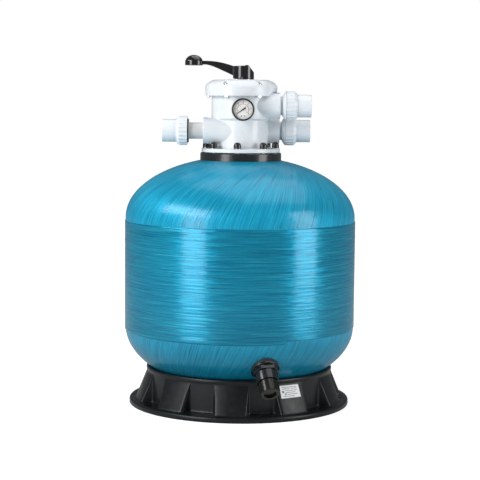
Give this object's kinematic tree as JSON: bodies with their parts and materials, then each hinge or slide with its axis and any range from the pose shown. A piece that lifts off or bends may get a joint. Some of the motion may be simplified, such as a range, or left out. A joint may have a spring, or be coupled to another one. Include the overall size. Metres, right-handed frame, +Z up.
{
  "type": "sand filter tank",
  "caption": "Wound-shell pool sand filter on a moulded stand, with a top-mounted multiport valve, pipe unions, pressure gauge and drain.",
  "frame": {"origin": "on the floor, on the tank's axis, at the centre of the stand's anchor holes", "axes": "+Z up the tank's axis; -Y towards the front, where the gauge and the drain are; the waste port points to -X and the other two ports to +X"},
  "size_m": [0.627, 0.6603, 0.9456],
  "materials": {
    "stand": "satin",
    "label": "matt printed film",
    "shell": "wound glass fibre under clear resin",
    "winding": "wound glass fibre under clear resin",
    "neck": "satin",
    "brass": "machined",
    "rubber": "matt",
    "inner_plastic": "moulded",
    "valve_white": "moulded, smooth",
    "arrow_blue": "painted",
    "steel": "stainless",
    "cap_black": "gloss",
    "rotor_grey": "moulded",
    "handle_black": "gloss",
    "gauge_dark": "dark chrome",
    "dial_white": "printed",
    "needle_black": "painted",
    "clear": "clear",
    "drain_black": "satin gloss"
  },
  "bodies": {
    "filter": {"stand": "stand", "data_plate": "label", "tank_shell": "shell", "hoop_winding": "winding", "neck_flange": "neck", "neck_inserts": "brass", "neck_o_ring": "rubber", "standpipe": "inner_plastic", "lateral_hub": "inner_plastic", "laterals": "inner_plastic", "top_diffuser": "inner_plastic", "valve_body": "valve_white", "flow_arrows": "arrow_blue", "flange_studs": "steel", "flange_washers": "steel", "flange_cap_nuts": "cap_black", "spider_gasket": "rubber", "lid": "valve_white", "lid_o_ring": "rubber", "lid_screws": "steel", "lid_nuts": "steel", "gauge_stem": "brass", "gauge_case": "gauge_dark", "gauge_movement": "brass", "gauge_dial": "dial_white", "gauge_lens": "clear", "gauge_bezel": "gauge_dark", "sight_glass": "clear", "sight_glass_washer": "rubber", "waste_o_ring": "rubber", "pump_adaptor": "valve_white", "pump_o_ring": "rubber", "return_adaptor": "valve_white", "return_o_ring": "rubber", "drain_bulkhead": "drain_black", "drain_gaskets": "rubber", "drain_screen": "inner_plastic", "drain_hex_nut": "drain_black", "drain_o_ring": "rubber"},
    "selector": {"thrust_washer": "steel", "spring": "steel", "spring_washer_upper": "steel"},
    "rotor": {"rotor": "rotor_grey", "shaft_o_rings": "rubber", "spring_washer_lower": "steel", "handle_pin": "steel"},
    "handle": {"handle": "handle_black", "handle_knob": "handle_black"},
    "needle": {"gauge_needle": "needle_black"},
    "waste_tail": {"waste_tail": "valve_white"},
    "waste_nut": {"waste_nut": "valve_white"},
    "pump_tail": {"pump_tail": "valve_white"},
    "pump_nut": {"pump_nut": "valve_white"},
    "return_tail": {"return_tail": "valve_white"},
    "return_nut": {"return_nut": "valve_white"},
    "drain_spout": {"drain_spout": "drain_black"},
    "drain_collar": {"drain_collar": "drain_black"},
    "drain_seal": {"drain_cap_seal": "rubber"},
    "drain_cap": {"drain_cap": "drain_black"}
  },
  "joints": [
    {"name": "rotor_turn", "type": "hinge", "parent": "filter", "child": "selector", "pos_m": [0, 0, 0.8793], "axis": [0, 0, 1], "continuous": true},
    {"name": "rotor_lift", "type": "slide", "parent": "selector", "child": "rotor", "axis": [0, 0, 1], "range_m": [0, 0.00401], "deforming": ["spring"]},
    {"name": "handle_press", "type": "hinge", "parent": "rotor", "child": "handle", "pos_m": [0, 0, 0.8835], "axis": [0, -1, 0], "range_deg": [0, 15]},
    {"name": "needle_turn", "type": "hinge", "parent": "filter", "child": "needle", "pos_m": [0.005, -0.104, 0.8], "axis": [0, 1, 0], "range_deg": [0, 252]},
    {"name": "waste_tail_slide", "type": "slide", "parent": "filter", "child": "waste_tail", "axis": [-1, 0, 0], "range_m": [0, 0.01205]},
    {"name": "waste_nut_turn", "type": "hinge", "parent": "waste_tail", "child": "waste_nut", "pos_m": [-0.159, -0.033, 0.742], "axis": [-1, 0, 0], "range_deg": [0, 1080]},
    {"name": "pump_tail_slide", "type": "slide", "parent": "filter", "child": "pump_tail", "axis": [1, 0, 0], "range_m": [0, 0.01205]},
    {"name": "pump_nut_turn", "type": "hinge", "parent": "pump_tail", "child": "pump_nut", "pos_m": [0.136, -0.033, 0.81], "axis": [1, 0, 0], "range_deg": [0, 1080]},
    {"name": "return_tail_slide", "type": "slide", "parent": "filter", "child": "return_tail", "axis": [1, 0, 0], "range_m": [0, 0.01205]},
    {"name": "return_nut_turn", "type": "hinge", "parent": "return_tail", "child": "return_nut", "pos_m": [0.136, 0.033, 0.742], "axis": [1, 0, 0], "range_deg": [0, 1080]},
    {"name": "drain_spout_slide", "type": "slide", "parent": "filter", "child": "drain_spout", "axis": [0.1675, -0.687, -0.7071], "range_m": [0, 0.01205]},
    {"name": "drain_collar_turn", "type": "hinge", "parent": "drain_spout", "child": "drain_collar", "pos_m": [0.07238, -0.29693, 0.1165], "axis": [0.1675, -0.687, -0.7071], "range_deg": [0, 1080]},
    {"name": "drain_seal_slide", "type": "slide", "parent": "drain_spout", "child": "drain_seal", "axis": [0.1675, -0.687, -0.7071], "range_m": [0, 0.01205]},
    {"name": "drain_cap_turn", "type": "hinge", "parent": "drain_seal", "child": "drain_cap", "pos_m": [0.07774, -0.31892, 0.09387], "axis": [0.1675, -0.687, -0.7071], "range_deg": [0, 1080]}
  ],
  "couplings": [
    {"joint": "rotor_lift", "follows": "handle_press", "m_per_rad": 0.015279},
    {"joint": "waste_tail_slide", "follows": "waste_nut_turn", "m_per_rad": 0.00063662},
    {"joint": "pump_tail_slide", "follows": "pump_nut_turn", "m_per_rad": 0.00063662},
    {"joint": "return_tail_slide", "follows": "return_nut_turn", "m_per_rad": 0.00063662},
    {"joint": "drain_spout_slide", "follows": "drain_collar_turn", "m_per_rad": 0.00063662},
    {"joint": "drain_seal_slide", "follows": "drain_cap_turn", "m_per_rad": 0.00063662}
  ]
}
